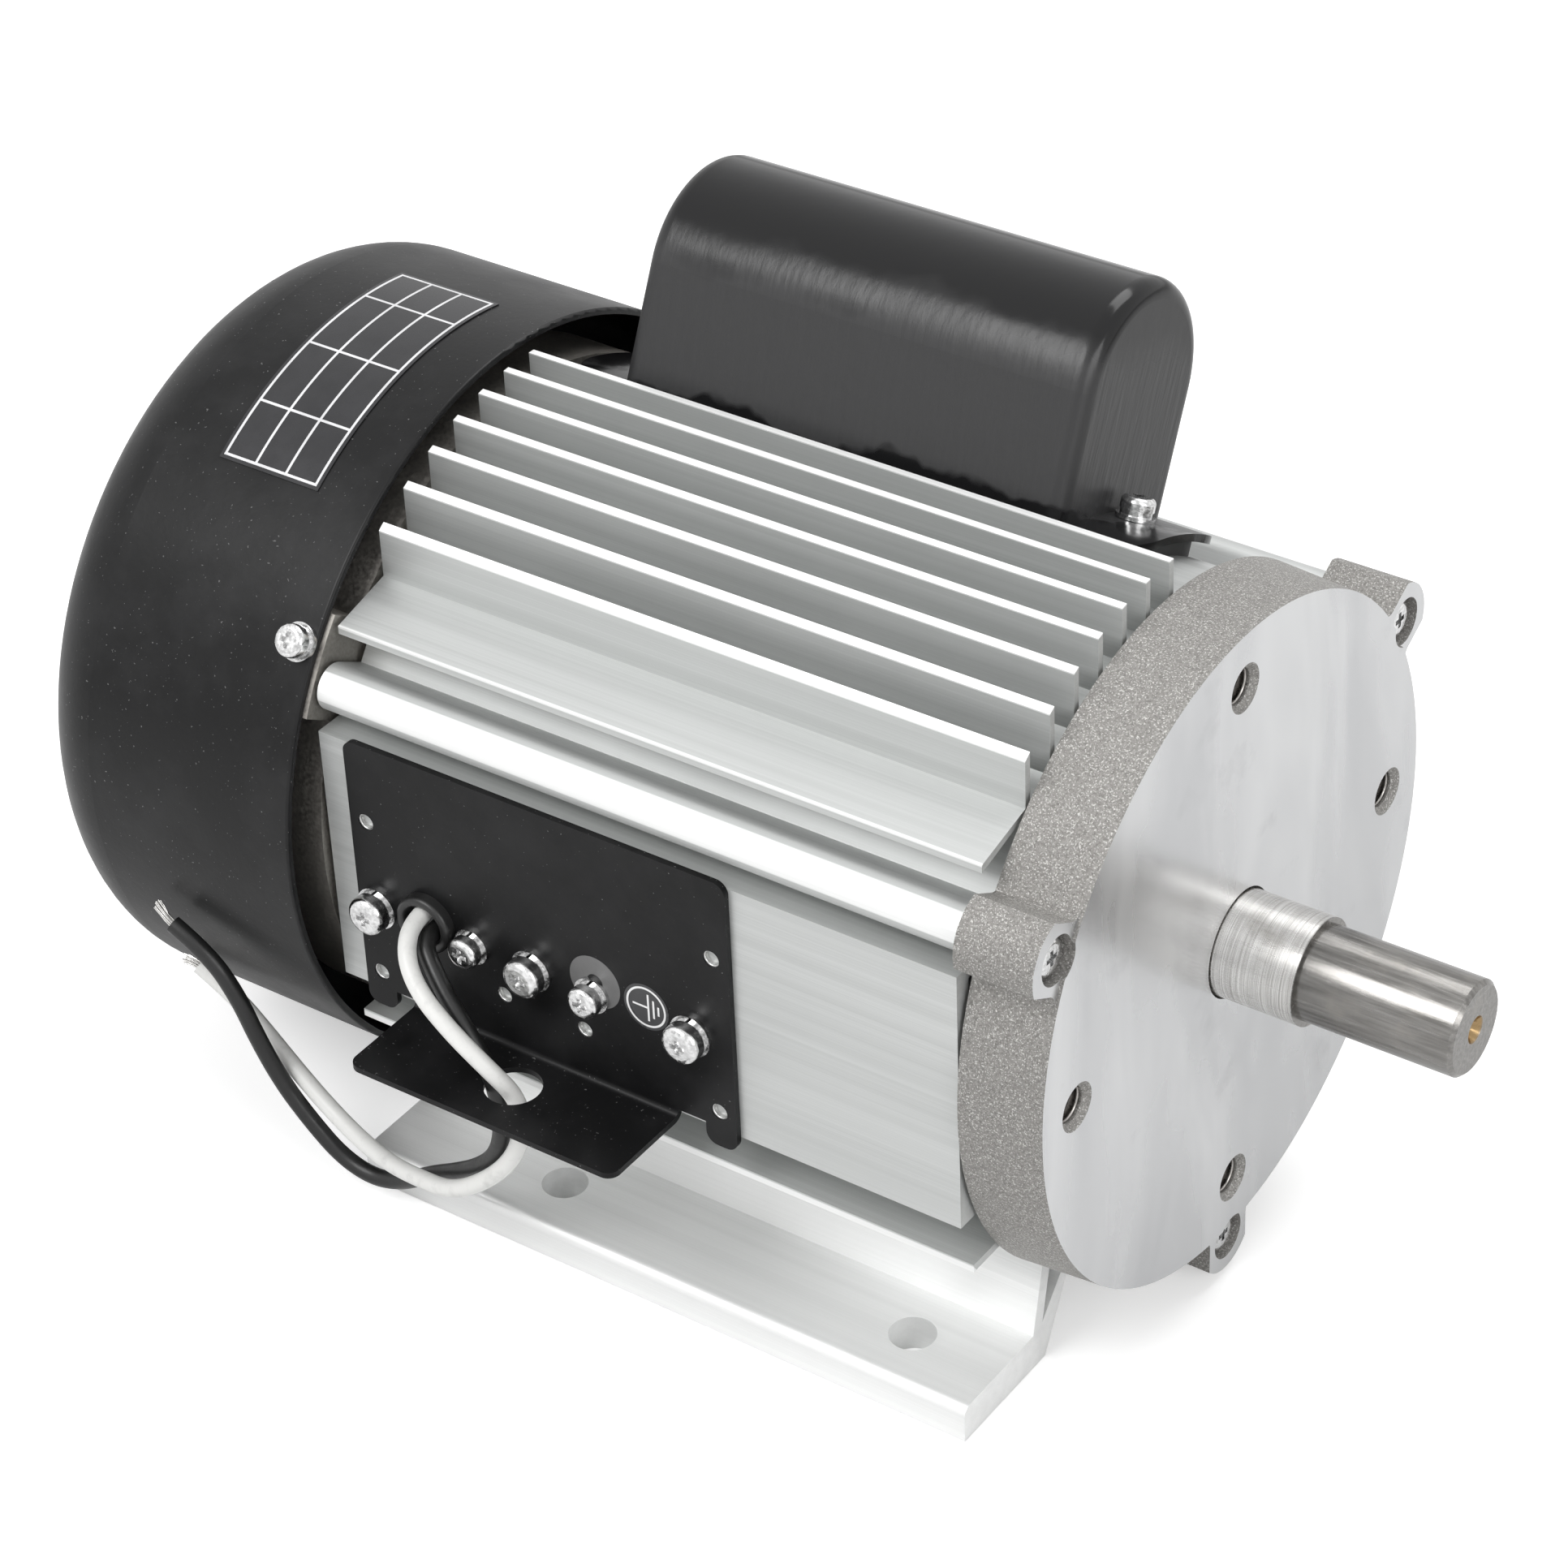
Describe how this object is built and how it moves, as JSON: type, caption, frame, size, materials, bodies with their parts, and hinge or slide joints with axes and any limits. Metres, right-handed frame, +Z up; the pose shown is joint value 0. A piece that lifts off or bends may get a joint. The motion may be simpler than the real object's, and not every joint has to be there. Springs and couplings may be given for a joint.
{
  "type": "single phase capacitor start motor",
  "caption": "Foot and flange mounted single-phase motor with finned frame, fan cover, capacitor housing, terminal plate and bare-ended leads.",
  "frame": {"origin": "centre of the four foot bolt holes, on the underside of the feet", "axes": "+X along the shaft, out of the front flange; +Z up; the terminal plate is on the -Y side"},
  "size_m": [0.3286, 0.1969, 0.2186],
  "materials": {
    "frame_aluminium": "mill finish extrusion",
    "cast_aluminium": "sand cast rim, machined face",
    "zinc_screw": "bright zinc",
    "zinc_washer": "bright zinc",
    "shaft_steel": "ground",
    "bearing_steel": "polished",
    "lamination_steel": "stacked sheet",
    "rotor_aluminium": "die cast",
    "winding_copper": "varnished copper wire",
    "black_paint": "satin",
    "black_plastic": "grained",
    "label_silver": "printed film, left blank",
    "grommet_rubber": "moulded",
    "black_insulation": "satin",
    "white_insulation": "satin",
    "copper_strands": "bare strand",
    "capacitor_can": "moulded",
    "fan_plastic": "moulded",
    "governor_steel": "pressed and plated",
    "collar_plastic": "moulded"
  },
  "bodies": {
    "motor_body": {"motor_frame": "frame_aluminium", "front_flange": "cast_aluminium", "rear_end_bell": "cast_aluminium", "through_bolts": "zinc_screw", "fan_cover_screws": "zinc_screw", "plate_screws": "zinc_screw", "terminal_screws": "zinc_screw", "capacitor_cover_screws": "zinc_screw", "switch_board_screws": "zinc_screw", "fan_cover_lock_washers": "zinc_washer", "fan_cover_flat_washers": "zinc_washer", "plate_lock_washers": "zinc_washer", "plate_flat_washers": "zinc_washer", "terminal_lock_washers": "zinc_washer", "terminal_flat_washers": "zinc_washer", "capacitor_lock_washers": "zinc_washer", "capacitor_flat_washers": "zinc_washer", "contact_arm_pin": "shaft_steel", "front_bearing_outer_race": "bearing_steel", "rear_bearing_outer_race": "bearing_steel", "rear_wave_washer": "bearing_steel", "stator_core": "lamination_steel", "main_winding": "winding_copper", "start_winding": "winding_copper", "fan_cover": "black_paint", "terminal_plate": "black_paint", "capacitor_cover": "black_plastic", "switch_board": "black_plastic", "rating_label": "label_silver", "lead_grommet": "grommet_rubber", "capacitor_gasket": "grommet_rubber", "black_lead": "black_insulation", "white_lead": "white_insulation", "black_lead_strands": "copper_strands", "white_lead_strands": "copper_strands", "fixed_contact": "copper_strands", "capacitor_terminals": "copper_strands", "start_capacitor": "capacitor_can"},
    "rotor": {"shaft": "shaft_steel", "rotor_core": "lamination_steel", "rotor_cage": "rotor_aluminium", "front_bearing_inner_race": "bearing_steel", "front_bearing_balls": "bearing_steel", "rear_bearing_inner_race": "bearing_steel", "rear_bearing_balls": "bearing_steel", "cooling_fan": "fan_plastic", "fan_retaining_clip": "shaft_steel", "governor_base": "governor_steel", "governor_pins": "shaft_steel", "governor_spring": "governor_steel"},
    "governor_collar": {"governor_collar": "collar_plastic"},
    "upper_flyweight": {"upper_flyweight": "governor_steel"},
    "lower_flyweight": {"lower_flyweight": "governor_steel"},
    "contact_arm": {"contact_arm": "governor_steel"}
  },
  "joints": [
    {"name": "rotor_spin", "type": "hinge", "parent": "motor_body", "child": "rotor", "pos_m": [0, 0, 0.095], "axis": [1, 0, 0], "continuous": true},
    {"name": "governor_collar_slide", "type": "slide", "parent": "rotor", "child": "governor_collar", "axis": [1, 0, 0], "range_m": [0, 0.002], "stiffness_N_per_m": 1500, "springref_m": -0.002},
    {"name": "upper_flyweight_swing", "type": "hinge", "parent": "rotor", "child": "upper_flyweight", "pos_m": [-0.08, 0, 0.115], "axis": [0, -1, 0], "range_deg": [0, 14.5]},
    {"name": "lower_flyweight_swing", "type": "hinge", "parent": "rotor", "child": "lower_flyweight", "pos_m": [-0.08, 0, 0.075], "axis": [0, 1, 0], "range_deg": [0, 14.5]},
    {"name": "contact_arm_swing", "type": "hinge", "parent": "motor_body", "child": "contact_arm", "pos_m": [-0.0925, 0.024, 0.095], "axis": [0, 0, 1], "range_deg": [0, 5]}
  ],
  "couplings": [
    {"joint": "upper_flyweight_swing", "follows": "governor_collar_slide", "rad_per_m": 125},
    {"joint": "lower_flyweight_swing", "follows": "governor_collar_slide", "rad_per_m": 125},
    {"joint": "contact_arm_swing", "follows": "governor_collar_slide", "rad_per_m": 41.667}
  ]
}
